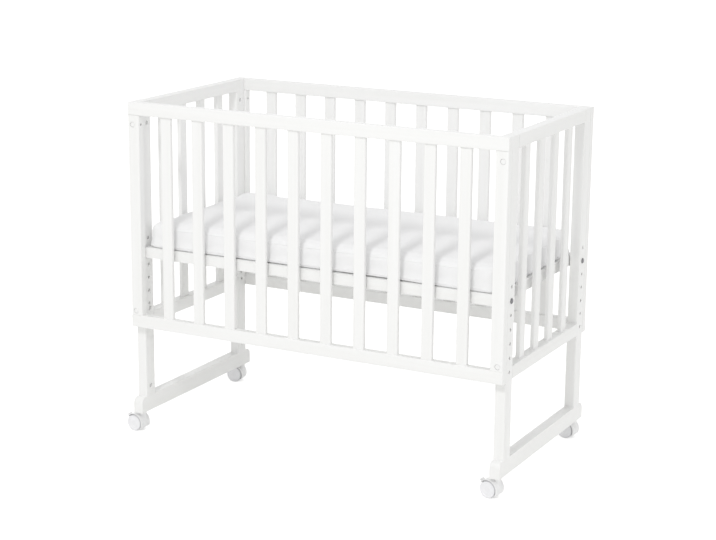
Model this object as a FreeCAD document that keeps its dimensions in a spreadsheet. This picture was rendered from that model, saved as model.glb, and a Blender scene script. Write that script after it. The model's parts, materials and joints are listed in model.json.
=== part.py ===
"""Bedside sleeper crib: a slatted box on two castored end frames, with a height-adjustable base.

Millimetres. +X runs to the right end, +Y to the back, +Z up. The origin is on the floor, under the
middle of the outline that the box and the trailing castors make together.
"""
import FreeCAD, Part
import os
import re

import Sketcher
from FreeCAD import Vector

SIZES = [
    # the whole crib
    ("length", 960, "outer length of the box"),
    ("width", 500, "outer width of the box"),
    ("height", 805, "floor to the top of the rails"),
    ("box_height", 540, "height of the slatted box"),
    ("edge_round", 2, "rounding of the wooden edges"),
    # long side panels
    ("panel_thickness", 20, "thickness of the long side panels"),
    ("rail_height", 30, "height of every top and bottom rail"),
    ("stile_width", 30, "width of the uprights at a side panel's ends"),
    ("slat_width", 28, "width of the upright slats"),
    ("slat_thickness", 11, "thickness of the upright slats"),
    ("slat_round", 3, "rounding of the slats' long edges"),
    ("side_slat_count", 10, "slats in each long side"),
    ("end_slat_count", 4, "slats in each end"),
    ("tenon_shoulder", 4, "width of the shoulder at each edge of a slat's tenon"),
    ("tenon_thickness", 7, "thickness of the tenons on slats and stiles"),
    ("tenon_length", 10, "depth of the tenons on slats and stiles"),
    # end frames
    ("post_thickness", 25, "thickness of the posts along the crib"),
    ("post_width", 36, "width of the posts across the crib"),
    ("rail_tenon_thickness", 12, "thickness of the end rails' tenons"),
    ("rail_tenon_height", 18, "height of the end rails' tenons"),
    ("rail_tenon_length", 14, "depth of the end rails' tenons"),
    ("foot_height", 38, "height of the foot bars"),
    ("foot_round", 14, "rounding of the foot bars' upper corners"),
    # row of holes for the base
    ("hole_diameter", 8, "holes for the base bolts"),
    ("hole_pitch", 32, "spacing of the base holes"),
    ("hole_count", 7, "holes in each post"),
    ("first_hole_drop", 328, "top of the rails down to the first hole"),
    ("base_position", 1, "holes between the first one and the one in use"),
    # base
    ("base_thickness", 25, "thickness of the base frame"),
    ("base_clearance", 1.5, "gap between the base and the box"),
    ("base_rail_width", 40, "width of the base's long rails"),
    ("base_end_width", 30, "width of the base's end rails"),
    ("base_slat_count", 9, "slats in the base"),
    ("base_slat_width", 55, "width of the base's slats"),
    ("base_slat_thickness", 9, "thickness of the base's slats"),
    ("base_slat_seat", 14, "length of a base slat that lies in the rail's rebate"),
    # mattress
    ("mattress_gap", 5, "gap between the mattress and the posts or panels"),
    ("mattress_side", 52, "height of the mattress at its border"),
    ("mattress_crown", 6, "rise of the mattress at its middle"),
    ("mattress_bulge", 6, "outward swell of the mattress's borders"),
    ("mattress_corner", 18, "rounding of the mattress's corners, seen from above"),
    ("mattress_taper", 8, "thinning of the mattress above and below at its ends"),
    ("mattress_waist", 4, "drawing-in of the long borders at half length"),
    # knock-down fittings
    ("bolt_diameter", 6, "thread of every connector bolt"),
    ("bolt_play", 0.5, "room around a connector bolt"),
    ("head_diameter", 12.5, "head of a connector bolt"),
    ("head_thickness", 2.3, "thickness of that head"),
    ("head_recess", 2.6, "depth of the recess for the head in a side panel"),
    ("recess_play", 0.3, "room around a head in its recess"),
    ("barrel_diameter", 10, "cross dowel"),
    ("barrel_length", 16, "length of the cross dowel"),
    ("barrel_hole_depth", 20, "depth of the cross dowel's hole"),
    ("side_bolt_length", 48, "length of the bolts through the side panels"),
    ("side_barrel_inset", 20, "side panel's back face to the cross dowel"),
    ("upper_bolt_drop", 52, "top of the rails down to the upper side bolts"),
    ("lower_bolt_rise", 40, "underside of the box up to the lower side bolts"),
    ("side_hole_diameter", 6, "blind hole in a stile's inner edge"),
    ("side_hole_depth", 12, "depth of that hole"),
    ("base_bolt_length", 70, "length of the bolts through the posts into the base"),
    ("base_barrel_inset", 30, "base rail's end to its cross dowel"),
    ("foot_bolt_length", 62, "length of the bolts up through the foot bars"),
    ("foot_barrel_rise", 24, "foot bar's top to the cross dowel in the post"),
    ("foot_recess_depth", 8, "depth of the recess for a foot bolt's head"),
    ("fit_play", 0.2, "room between a cross dowel or thread and what it goes into"),
    ("end_play", 0.8, "room beyond the end of a bolt, dowel, stem or tenon"),
    # castors
    ("castor_height", 49, "floor to the underside of the foot bars"),
    ("castor_inset", 20, "foot bar's end to the castor's stem"),
    ("castor_trail", 16, "stem to wheel axle"),
    ("wheel_diameter", 40, "twin wheels"),
    ("wheel_width", 10.5, "width of each wheel"),
    ("web_thickness", 12, "middle wall between a castor's two wheels"),
    ("wheel_gap", 0.5, "gap between a wheel and the middle wall"),
    ("rim_thickness", 3.6, "wall of a wheel's rim"),
    ("wheel_disc", 4, "thickness of a wheel's disc"),
    ("rim_band", 4.7, "width of the raised band round a wheel's face"),
    ("dish_slope", 1.1, "width of the slope from that band to the disc"),
    ("dish_depth", 1, "depth of the disc's face below the band"),
    ("hub_diameter", 10, "hub of a wheel"),
    ("tread_round", 1.4, "bevel at the edges of a wheel's tread"),
    ("axle_diameter", 5, "wheel axle"),
    ("axle_engagement", 8, "length of axle inside each wheel"),
    ("axle_boss_diameter", 14, "boss around the axle in the middle wall"),
    ("running_play", 0.05, "radial room in every running fit of a castor"),
    ("hood_gap", 1, "gap between a wheel's tread and the hood"),
    ("hood_wall", 2.2, "wall of the hood"),
    ("hood_overhang", 0.2, "hood's rim beyond the wheel's outer face"),
    ("hood_start", -30, "angle where the hood begins, from straight ahead, degrees"),
    ("hood_stop", 136, "angle where the hood ends, degrees"),
    ("cheek_radius", 18.5, "radius of the middle wall behind the hood"),
    ("cheek_stop", 165, "angle where the middle wall ends, degrees"),
    ("stem_diameter", 8, "castor stem"),
    ("stem_boss_diameter", 15, "boss around the stem"),
    ("stem_collar_diameter", 15, "stem's collar under the foot bar"),
    ("stem_collar_thickness", 1.5, "thickness of that collar"),
    ("stem_gap", 0.2, "gap between the boss and the collar"),
    ("stem_upper_length", 24, "length of stem inside the foot bar"),
    ("stem_lower_length", 31.5, "length of stem inside the castor"),
    ("brake_pin_diameter", 3, "trunnion that the brake lever turns on"),
    ("brake_pin_radius", 14.2, "wheel axle to the trunnion"),
    ("brake_pin_angle", 138, "direction of the trunnion from the axle, degrees"),
    ("brake_angle", 147, "slope of the brake pedal, degrees"),
    ("brake_boss_diameter", 6.8, "lever's boss around the trunnion"),
    ("brake_tongue", 4.8, "thickness of the lever's tongue"),
    ("tongue_start", 13.5, "wheel axle to the tongue's tip"),
    ("tongue_heel", 16.5, "wheel axle to the tongue's heel"),
    ("tongue_rise", 1, "the pedal's middle to the tongue's faces"),
    ("tongue_drop", 4.3, "the pedal's middle down to the tongue's heel"),
    ("slot_wall", 2.5, "wall between the axle's boss and the lever's slot"),
    ("slot_room", 20, "room in the slot beyond the trunnion and the middle wall, degrees"),
    ("brake_width", 15, "width of the brake pedal"),
    ("brake_thickness", 2.4, "thickness of the brake pedal"),
    ("brake_start", 21.8, "wheel axle to the pedal's root"),
    ("brake_reach", 30, "wheel axle to the pedal's tip"),
    ("front_left_heading", -3, "turn of this castor, degrees"),
    ("front_right_heading", -8, "turn of this castor, degrees"),
    ("back_left_heading", 10, "turn of this castor, degrees"),
    ("back_right_heading", -5, "turn of this castor, degrees"),
]

PLACES = [
    ("centre_x", "(castor_trail - brake_reach * cos(brake_angle) - post_thickness / 2) / 2",
     "middle of the box, where the box and the castors' pedals reach equally far"),
    ("box_bottom", "height - box_height", "floor to the underside of the box"),
    ("box_middle", "height - box_height / 2", "floor to the middle of the box"),
    ("foot_top", "castor_height + foot_height", "floor to the top of the foot bars"),
    ("opening", "box_height - 2 * rail_height", "height between the rails"),
    ("post_x", "(length - post_thickness) / 2", "middle of the box to a post"),
    ("post_y", "(width - post_width) / 2 - panel_thickness", "middle of the box to a post"),
    ("panel_y", "(width - panel_thickness) / 2", "middle of the box to a side panel"),
    ("stile_x", "(length - stile_width) / 2", "middle of the box to a stile"),
    ("end_span", "width - 2 * panel_thickness - 2 * post_width", "length of an end rail"),
    ("side_pitch", "(length - 2 * stile_width + slat_width) / (side_slat_count + 1)", "slats"),
    ("end_pitch", "(end_span + slat_width) / (end_slat_count + 1)", "slats"),
    ("tenon_width", "slat_width - 2 * tenon_shoulder", "width of a slat's tenon"),
    ("stile_tenon", "stile_width - 2 * tenon_shoulder", "width of a stile's tenon"),
    ("row_height", "(hole_count - 1) * hole_pitch", "lowest to highest base hole"),
    ("lowest_hole", "height - first_hole_drop - row_height", "floor to the lowest base hole"),
    ("base_z", "height - first_hole_drop - base_position * hole_pitch", "middle of the base"),
    ("base_top", "base_z + base_thickness / 2", "floor to the top of the base"),
    ("base_length", "length - 2 * post_thickness - 2 * base_clearance", "base frame"),
    ("base_rail_y", "(width - base_rail_width) / 2 - panel_thickness - base_clearance", "rail"),
    ("base_gap", "2 * base_rail_y - base_rail_width", "between the base's long rails"),
    ("base_end_x", "(base_length - base_end_width) / 2", "middle of the box to an end rail"),
    ("base_pitch", "(base_length - 2 * base_end_width + base_slat_width) / (base_slat_count + 1)",
     "base slats"),
    ("mattress_length", "length - 2 * post_thickness - 2 * mattress_gap", "mattress"),
    ("mattress_width", "width - 2 * panel_thickness - 2 * mattress_gap", "mattress"),
    ("lower_bolt_z", "box_bottom + lower_bolt_rise", "floor to the lower side bolts"),
    ("bolt_span", "box_height - upper_bolt_drop - lower_bolt_rise", "lower to upper side bolts"),
    ("bolt_hole", "bolt_diameter + 2 * bolt_play", "hole for a connector bolt"),
    ("recess_diameter", "head_diameter + 2 * recess_play", "recess for a bolt's head"),
    ("barrel_hole", "barrel_diameter + 2 * fit_play", "hole for a cross dowel"),
    ("barrel_half", "barrel_length / 2 + end_play", "bolt's axis to the end of a dowel's hole"),
    ("foot_head_z", "castor_height + foot_recess_depth", "floor to a foot bolt's head"),
    ("foot_barrel_z", "foot_top + foot_barrel_rise", "floor to a foot bolt's cross dowel"),
    ("castor_y", "width / 2 - castor_inset", "middle of the crib to a castor's stem"),
    ("wheel_radius", "wheel_diameter / 2", "floor to an axle"),
    ("wheel_face", "web_thickness / 2 + wheel_gap", "castor's middle to a wheel"),
    ("well_radius", "wheel_radius + hood_gap", "room in the hood for a wheel"),
    ("hood_radius", "wheel_radius + hood_gap + hood_wall", "outside of the hood"),
    ("hood_width", "2 * (wheel_face + wheel_width + hood_overhang)", "width of the hood"),
    ("collar_z", "castor_height - stem_collar_thickness", "floor to the stem's collar"),
]

doc = FreeCAD.newDocument("bedside_crib")
sheet = doc.addObject("Spreadsheet::Sheet", "sizes")
for row, (alias, value, meaning) in enumerate(SIZES + PLACES, 1):
    sheet.set("A%d" % row, meaning)
    sheet.setAlias("B%d" % row, alias)
    sheet.set("B%d" % row, ("=" if isinstance(value, str) else "") + str(value))
desk = doc.addObject("Spreadsheet::Sheet", "desk")
doc.recompute()

ALIASES = {alias for alias, _, _ in SIZES + PLACES}
AXES = {"x": Vector(1, 0, 0), "y": Vector(0, 1, 0), "z": Vector(0, 0, 1)}
pieces = []


def formula(text):
    """The formula as the sheet reads it, with each size named as a cell."""
    return re.sub(r"[a-z_]+", lambda word: "sizes." + word.group()
                  if word.group() in ALIASES else word.group(), text)


def number(text):
    """The present value of a formula, worked out in a spare cell."""
    desk.set("A1", "=" + formula(text))
    desk.recompute()
    return float(desk.get("A1"))


def origin_part(body, role):
    """One of a body's own origin planes or axes."""
    return next(item for item in body.Origin.OriginFeatures if item.Role == role)


def new_body(label, x="0", y="0", z="0", turn="0"):
    """A piece whose own origin stands at x, y, z, turned about the vertical."""
    body = doc.addObject("PartDesign::Body", label)
    body.Label = label
    body.setExpression("Placement", formula(
        "create(<<placement>>; create(<<vector>>; %s; %s; %s);"
        " create(<<rotation>>; create(<<vector>>; 0; 0; 1); %s))" % (x, y, z, turn)))
    pieces.append(body)
    return body


def new_sketch(body, plane, right="0", up="0", out="0"):
    """A sketch on an origin plane, its own origin moved right and up in it and out along its normal."""
    sketch = body.newObject("Sketcher::SketchObject", body.Label + "_" + plane.lower())
    sketch.AttachmentSupport = [(origin_part(body, plane + "_Plane"), "")]
    sketch.MapMode = "FlatFace"
    for axis, text in (("x", right), ("y", up), ("z", out)):
        if text != "0":
            sketch.setExpression("AttachmentOffset.Base." + axis, formula(text))
    return sketch


def bind(sketch, name, text, *constraint):
    """A sized constraint that follows a formula."""
    index = sketch.addConstraint(Sketcher.Constraint(*constraint, number(text)))
    sketch.renameConstraint(index, name)
    sketch.setExpression("Constraints." + name, formula(text))


def polygon(sketch, points):
    """A closed outline of straight lines through points given as pairs of formulas."""
    corners = [Vector(number(x), number(y), 0) for x, y in points]
    count = len(corners)
    for index in range(count):
        line = Part.LineSegment(corners[index], corners[(index + 1) % count])
        sketch.addGeometry(line, False)
    for index, (x, y) in enumerate(points):
        sketch.addConstraint(Sketcher.Constraint("Coincident", index, 2, (index + 1) % count, 1))
        bind(sketch, "x%d" % index, x, "DistanceX", -1, 1, index, 1)
        bind(sketch, "y%d" % index, y, "DistanceY", -1, 1, index, 1)


def rectangle(sketch, wide, tall):
    """A rectangle centred on the sketch's origin."""
    half_wide = number(wide) / 2
    half_tall = number(tall) / 2
    corners = [Vector(-half_wide, -half_tall, 0), Vector(half_wide, -half_tall, 0),
               Vector(half_wide, half_tall, 0), Vector(-half_wide, half_tall, 0)]
    for index in range(4):
        sketch.addGeometry(Part.LineSegment(corners[index], corners[(index + 1) % 4]), False)
    for index in range(4):
        sketch.addConstraint(Sketcher.Constraint("Coincident", index, 2, (index + 1) % 4, 1))
        sketch.addConstraint(Sketcher.Constraint("Vertical" if index % 2 else "Horizontal", index))
    sketch.addConstraint(Sketcher.Constraint("Symmetric", 0, 1, 1, 2, -1, 1))
    bind(sketch, "wide", wide, "DistanceX", 0, 1, 0, 2)
    bind(sketch, "tall", tall, "DistanceY", 1, 1, 1, 2)


def circle(sketch, diameter):
    """A circle centred on the sketch's origin."""
    radius = number(diameter) / 2
    sketch.addGeometry(Part.Circle(Vector(), Vector(0, 0, 1), radius), False)
    sketch.addConstraint(Sketcher.Constraint("Coincident", 0, 3, -1, 1))
    bind(sketch, "across", diameter, "Diameter", 0)


def finish_feature(body, feature):
    """Makes a feature the last one of its piece."""
    body.Tip = feature
    return feature


def pad(body, sketch, length, both=True):
    """Material from a sketch: to both sides alike, or out along its normal."""
    feature = body.newObject("PartDesign::Pad", body.Label + "_pad")
    feature.Profile = sketch
    feature.setExpression("Length", formula(length))
    feature.SideType = "Symmetric" if both else "One side"
    return finish_feature(body, feature)


def pocket(body, sketch, depth=None, out=False):
    """A cut from a sketch: right through, or to a depth against its normal, or out along it."""
    doc.recompute()
    before = body.Shape.Volume
    feature = body.newObject("PartDesign::Pocket", body.Label + "_pocket")
    feature.Profile = sketch
    if depth is None:
        feature.Type = "ThroughAll"
        feature.SideType = "Symmetric"
    else:
        feature.setExpression("Length", formula(depth))
        feature.Reversed = out
    finish_feature(body, feature)
    doc.recompute()
    if body.Shape.Volume > before - 1e-3:
        raise ValueError("a pocket of %s cuts nothing" % body.Label)
    return feature


def pocket_between(body, sketch, length):
    """A cut of a sketch to both sides alike."""
    feature = pocket(body, sketch)
    feature.Type = "Length"
    feature.setExpression("Length", formula(length))
    return feature


def revolve(body, sketch, axis="V_Axis"):
    """A full turn of a sketch about one of its own axes."""
    feature = body.newObject("PartDesign::Revolution", body.Label + "_turned")
    feature.Profile = sketch
    feature.ReferenceAxis = (sketch, [axis])
    feature.Angle = 360
    return finish_feature(body, feature)


def row_of(body, axis, count, span, features=None):
    """Copies along an axis, evenly spread over a span, of some features or of the whole piece."""
    feature = body.newObject("PartDesign::LinearPattern", body.Label + "_row")
    if features:
        feature.Originals = features
    else:
        feature.TransformMode = "Whole shape"
    feature.Direction = (origin_part(body, axis.upper() + "_Axis"), [""])
    feature.setExpression("Occurrences", formula(count))
    feature.setExpression("Length", formula(span))
    return finish_feature(body, feature)


def mirror(body, plane):
    """The whole piece again on the other side of an origin plane."""
    feature = body.newObject("PartDesign::Mirrored", body.Label + "_mirror")
    feature.TransformMode = "Whole shape"
    feature.MirrorPlane = (origin_part(body, plane + "_Plane"), [""])
    return finish_feature(body, feature)


def straight_edges(shape, axis, wanted):
    """Names of the straight edges along an axis whose middle point passes a test."""
    names = []
    for index, edge in enumerate(shape.Edges, 1):
        if edge.Curve.TypeId == "Part::GeomLine":
            run = edge.Vertexes[1].Point - edge.Vertexes[0].Point
            if abs(run.normalize().dot(AXES[axis])) > 0.999 and wanted(edge.CenterOfMass):
                names.append("Edge%d" % index)
    return names


def round_edges(body, radius, axis, wanted=lambda middle: True):
    """Rounds the straight edges along an axis that pass a test."""
    doc.recompute()
    base = body.Tip
    names = straight_edges(base.Shape, axis, wanted)
    feature = body.newObject("PartDesign::Fillet", body.Label + "_rounded")
    feature.Base = (base, names)
    feature.setExpression("Radius", formula(radius))
    return finish_feature(body, feature)


def slat_mortises(body, face, upward, along, pitch, count):
    """The row of mortises for upright slats in a rail's upper or lower face."""
    first = "(1 - %s) / 2 * %s" % (count, pitch)
    right, up = (first, "0") if along == "x" else ("0", first)
    sketch = new_sketch(body, "XY", right=right, up=up, out=face)
    sizes = ["tenon_width", "tenon_thickness"]
    rectangle(sketch, *(sizes if along == "x" else reversed(sizes)))
    cut = pocket(body, sketch, "tenon_length + end_play", out=upward)
    row_of(body, along, count, "(%s - 1) * %s" % (count, pitch), [cut])


def slat_row(label, x, y, along, pitch, count):
    """A row of upright slats, each with a tenon at both ends."""
    body = new_body(label, x, y, "box_middle")
    first = "(1 - %s) / 2 * %s" % (count, pitch)
    right, up = (first, "0") if along == "x" else ("0", first)
    outline = ["slat_width", "slat_thickness"]
    tenon = ["tenon_width", "tenon_thickness"]
    face = new_sketch(body, "XY", right=right, up=up)
    rectangle(face, *(outline if along == "x" else reversed(outline)))
    pad(body, face, "opening")
    round_edges(body, "slat_round", "z")
    core = new_sketch(body, "XY", right=right, up=up)
    rectangle(core, *(tenon if along == "x" else reversed(tenon)))
    pad(body, core, "opening + 2 * tenon_length")
    row_of(body, along, count, "(%s - 1) * %s" % (count, pitch))


def side_rail(label, y, z, upper):
    """A long panel's top or bottom rail, mortised for the slats and stiles."""
    body = new_body(label, "centre_x", y, z)
    profile = new_sketch(body, "YZ")
    rectangle(profile, "panel_thickness", "rail_height")
    pad(body, profile, "length")
    face = "%srail_height / 2" % ("-" if upper else "")
    slat_mortises(body, face, upper, "x", "side_pitch", "side_slat_count")
    stile_end = new_sketch(body, "XY", right="-stile_x", out=face)
    rectangle(stile_end, "stile_tenon", "tenon_thickness")
    cut = pocket(body, stile_end, "tenon_length + end_play", out=upper)
    row_of(body, "x", "2", "2 * stile_x", [cut])
    side = number("panel_thickness") / 2 - 0.01
    round_edges(body, "edge_round", "x", lambda middle: abs(middle.y) > side)


def stile(label, end, side):
    """An upright at a side panel's end, bored for the two connector bolts."""
    body = new_body(label, "centre_x + %d * stile_x" % end, "%d * panel_y" % side, "box_middle")
    profile = new_sketch(body, "XY")
    rectangle(profile, "stile_width", "panel_thickness")
    pad(body, profile, "opening")
    round_edges(body, "edge_round", "z")
    core = new_sketch(body, "XY")
    rectangle(core, "stile_tenon", "tenon_thickness")
    pad(body, core, "opening + 2 * tenon_length")
    right = "%d * (stile_width - post_thickness) / 2" % end
    up = "lower_bolt_z - box_middle"
    shank = new_sketch(body, "XZ", right=right, up=up)
    circle(shank, "bolt_hole")
    bore = pocket(body, shank)
    head = new_sketch(body, "XZ", right=right, up=up, out="%d * panel_thickness / 2" % -side)
    circle(head, "recess_diameter")
    recess = pocket(body, head, "head_recess", out=side > 0)
    row_of(body, "z", "2", "bolt_span", [bore, recess])
    blind = new_sketch(body, "YZ", up="box_height / 2 - upper_bolt_drop",
                       out="%d * stile_width / 2" % -end)
    circle(blind, "side_hole_diameter")
    pocket(body, blind, "side_hole_depth", out=end > 0)


def bore_post(body, end, side):
    """The post's holes for the fittings: bolts from the side panel and foot, and their cross dowels."""
    bolt = new_sketch(body, "XZ", up="lower_bolt_z", out="%d * post_width / 2" % -side)
    circle(bolt, "bolt_hole")
    depth = "side_bolt_length + head_recess - panel_thickness + end_play"
    bolt_bore = pocket(body, bolt, depth, out=side > 0)
    inner_face = "%d * post_thickness / 2" % -end
    dowel = new_sketch(body, "YZ", right="%d * (post_width / 2 - side_barrel_inset)" % side,
                       up="lower_bolt_z", out=inner_face)
    circle(dowel, "barrel_hole")
    dowel_bore = pocket(body, dowel, "post_thickness / 2 + barrel_half", out=end > 0)
    row_of(body, "z", "2", "bolt_span", [bolt_bore, dowel_bore])
    foot_bolt = new_sketch(body, "XY", out="foot_top")
    circle(foot_bolt, "bolt_hole")
    pocket(body, foot_bolt, "foot_head_z + foot_bolt_length - foot_top + end_play", out=True)
    foot_dowel = new_sketch(body, "YZ", up="foot_barrel_z", out=inner_face)
    circle(foot_dowel, "barrel_hole")
    pocket(body, foot_dowel, "post_thickness / 2 + barrel_half", out=end > 0)


def post(label, end, side):
    """A corner post that runs down into the leg, with the row of holes for the base."""
    body = new_body(label, "centre_x + %d * post_x" % end, "%d * post_y" % side)
    profile = new_sketch(body, "XY", out="foot_top")
    rectangle(profile, "post_thickness", "post_width")
    pad(body, profile, "height - foot_top", both=False)
    round_edges(body, "edge_round", "z")
    hole = new_sketch(body, "YZ", up="lowest_hole")
    circle(hole, "hole_diameter")
    row_of(body, "z", "hole_count", "row_height", [pocket(body, hole)])
    mortise = new_sketch(body, "XZ", up="box_bottom + rail_height / 2",
                         out="%d * post_width / 2" % side)
    rectangle(mortise, "rail_tenon_thickness", "rail_tenon_height")
    cut = pocket(body, mortise, "rail_tenon_length + end_play", out=side < 0)
    row_of(body, "z", "2", "box_height - rail_height", [cut])
    bore_post(body, end, side)


def end_rail(label, end, z, upper):
    """A rail between two posts, with a tenon at both ends and mortises for the slats."""
    body = new_body(label, "centre_x + %d * post_x" % end, "0", z)
    profile = new_sketch(body, "XZ")
    rectangle(profile, "post_thickness", "rail_height")
    pad(body, profile, "end_span")
    round_edges(body, "edge_round", "y")
    core = new_sketch(body, "XZ")
    rectangle(core, "rail_tenon_thickness", "rail_tenon_height")
    pad(body, core, "end_span + 2 * rail_tenon_length")
    face = "%srail_height / 2" % ("-" if upper else "")
    slat_mortises(body, face, upper, "y", "end_pitch", "end_slat_count")


def foot_bar(label, end):
    """The bar under two posts, with rounded upper corners, bolt holes and sockets for the castors."""
    body = new_body(label, "centre_x + %d * post_x" % end, "0", "castor_height + foot_height / 2")
    profile = new_sketch(body, "YZ")
    rectangle(profile, "width", "foot_height")
    pad(body, profile, "post_thickness")
    round_edges(body, "foot_round", "x", lambda middle: middle.z > 0)
    shank = new_sketch(body, "XY", up="-post_y")
    circle(shank, "bolt_hole")
    bore = pocket(body, shank)
    head = new_sketch(body, "XY", up="-post_y", out="-foot_height / 2")
    circle(head, "recess_diameter")
    recess = pocket(body, head, "foot_recess_depth", out=True)
    row_of(body, "y", "2", "2 * post_y", [bore, recess])
    socket = new_sketch(body, "XY", up="-castor_y", out="-foot_height / 2")
    circle(socket, "stem_diameter + 2 * running_play")
    cut = pocket(body, socket, "stem_upper_length + end_play", out=True)
    row_of(body, "y", "2", "2 * castor_y", [cut])


def base_side_rail(label, side):
    """A long rail of the base, rebated for the slats and bored for the bolts from the posts."""
    body = new_body(label, "centre_x", "%d * base_rail_y" % side, "base_z")
    profile = new_sketch(body, "YZ")
    rectangle(profile, "base_rail_width", "base_thickness")
    pad(body, profile, "base_length")
    rebate = new_sketch(body, "YZ", right="%d * (base_rail_width - base_slat_seat) / 2" % -side,
                        up="(base_thickness - base_slat_thickness) / 2")
    rectangle(rebate, "base_slat_seat", "base_slat_thickness")
    pocket(body, rebate)
    across = "%d * (post_y - base_rail_y)" % side
    bolt = new_sketch(body, "YZ", right=across, out="-base_length / 2")
    circle(bolt, "bolt_hole")
    depth = "base_bolt_length - post_thickness - base_clearance + end_play"
    pocket(body, bolt, depth, out=True)
    far_bolt = new_sketch(body, "YZ", right=across, out="base_length / 2")
    circle(far_bolt, "bolt_hole")
    pocket(body, far_bolt, depth)
    dowel = new_sketch(body, "XY", right="base_barrel_inset - base_length / 2", up=across,
                       out="-base_thickness / 2")
    circle(dowel, "barrel_hole")
    cut = pocket(body, dowel, "base_thickness / 2 + barrel_half", out=True)
    row_of(body, "x", "2", "base_length - 2 * base_barrel_inset", [cut])


def base_end_rail(label, end):
    """An end rail of the base, lapped into the rebates of the long rails."""
    body = new_body(label, "centre_x + %d * base_end_x" % end, "0", "base_z")
    core = new_sketch(body, "XZ")
    rectangle(core, "base_end_width", "base_thickness")
    pad(body, core, "base_gap")
    lap = new_sketch(body, "XZ", up="(base_thickness - base_slat_thickness) / 2")
    rectangle(lap, "base_end_width", "base_slat_thickness")
    pad(body, lap, "base_gap + 2 * base_slat_seat")


def base_slats():
    """The slats that lie across the base in the long rails' rebates."""
    body = new_body("base_slats", "centre_x", "0", "base_top - base_slat_thickness / 2")
    profile = new_sketch(body, "XY", right="(1 - base_slat_count) / 2 * base_pitch")
    rectangle(profile, "base_slat_width", "base_gap + 2 * base_slat_seat - 2 * fit_play")
    pad(body, profile, "base_slat_thickness")
    round_edges(body, "edge_round", "y", lambda middle: middle.z > 0)
    row_of(body, "x", "base_slat_count", "(base_slat_count - 1) * base_pitch")


def cushion_section(body, along, inset, rise):
    """One cross-section of the mattress: flat below, swollen at the borders, crowned on top."""
    half = "(mattress_width / 2 - mattress_bulge - %s)" % inset
    low = "(%s)" % rise
    high = "(mattress_side - %s)" % rise
    sketch = new_sketch(body, "YZ", out=along)
    half_value, low_value, high_value = number(half), number(low), number(high)
    bulge, crown = number("mattress_bulge"), number("mattress_crown")
    middle = (low_value + high_value) / 2
    corners = [Vector(-half_value, low_value, 0), Vector(half_value, low_value, 0),
               Vector(half_value, high_value, 0), Vector(-half_value, high_value, 0)]
    sketch.addGeometry(Part.LineSegment(corners[0], corners[1]), False)
    for index, through in ((1, Vector(half_value + bulge, middle, 0)),
                           (2, Vector(0, high_value + crown, 0)),
                           (3, Vector(-half_value - bulge, middle, 0))):
        sketch.addGeometry(Part.Arc(corners[index], through, corners[(index + 1) % 4]), False)
    for index in range(4):
        sketch.addConstraint(Sketcher.Constraint("Coincident", index, 2, (index + 1) % 4, 1))
    for index, (x, y) in enumerate((("-" + half, low), (half, low), (half, high), ("-" + half, high))):
        bind(sketch, "x%d" % index, x, "DistanceX", -1, 1, index, 1)
        bind(sketch, "y%d" % index, y, "DistanceY", -1, 1, index, 1)
    swell = "((%s - %s) ^ 2 / 4 + mattress_bulge ^ 2) / (2 * mattress_bulge)" % (high, low)
    bind(sketch, "swell_right", swell, "Radius", 1)
    bind(sketch, "swell_left", swell, "Radius", 3)
    bind(sketch, "crown", "(%s ^ 2 + mattress_crown ^ 2) / (2 * mattress_crown)" % half, "Radius", 2)
    return sketch


def mattress():
    """The mattress: a loft with rounded corners, crowned top and drawn-in long borders."""
    body = new_body("mattress", "centre_x", "0", "base_top")
    near_end = []
    for angle in (0, 25, 50, 90):
        step = "mattress_corner * (1 - cos(%d)) - mattress_length / 2" % angle
        taper = "(1 - sin(%d))" % angle
        near_end.append((step, "mattress_corner * " + taper, "mattress_taper * " + taper))
    sections = [cushion_section(body, *section) for section in near_end]
    sections.append(cushion_section(body, "0", "mattress_waist", "0"))
    sections += [cushion_section(body, "-(%s)" % step, inset, rise)
                 for step, inset, rise in reversed(near_end)]
    doc.recompute()
    loft = body.newObject("PartDesign::AdditiveLoft", "mattress_loft")
    loft.Profile = sections[0]
    loft.Sections = sections[1:]
    loft.Ruled = True
    finish_feature(body, loft)


def bolt_profile(sketch, length, direction):
    """Half a connector bolt: a low round head and its shank."""
    polygon(sketch, [
        ("0", "%d * %s" % (direction, length)),
        ("0", "-%d * head_thickness" % direction),
        ("head_diameter / 2 - head_thickness / 2", "-%d * head_thickness" % direction),
        ("head_diameter / 2", "-%d * head_thickness / 2" % direction),
        ("head_diameter / 2", "0"),
        ("bolt_diameter / 2", "0"),
        ("bolt_diameter / 2", "%d * %s" % (direction, length)),
    ])


def side_fittings():
    """The bolts through the side panels into the posts, and the cross dowels that hold them."""
    bolts = new_body("side_bolts", "centre_x")
    turned = new_sketch(bolts, "XY", right="-post_x", up="head_recess - width / 2",
                        out="lower_bolt_z")
    bolt_profile(turned, "side_bolt_length", 1)
    revolve(bolts, turned)
    dowels = new_body("side_barrel_nuts", "centre_x")
    round_bar = new_sketch(dowels, "YZ", right="panel_thickness + side_barrel_inset - width / 2",
                           up="lower_bolt_z", out="-post_x")
    circle(round_bar, "barrel_diameter")
    pad(dowels, round_bar, "barrel_length")
    thread = new_sketch(dowels, "XZ", right="-post_x", up="lower_bolt_z")
    circle(thread, "bolt_diameter + 2 * fit_play")
    pocket(dowels, thread)
    for body in (bolts, dowels):
        row_of(body, "z", "2", "bolt_span")
        row_of(body, "x", "2", "2 * post_x")
        mirror(body, "XZ")


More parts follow.
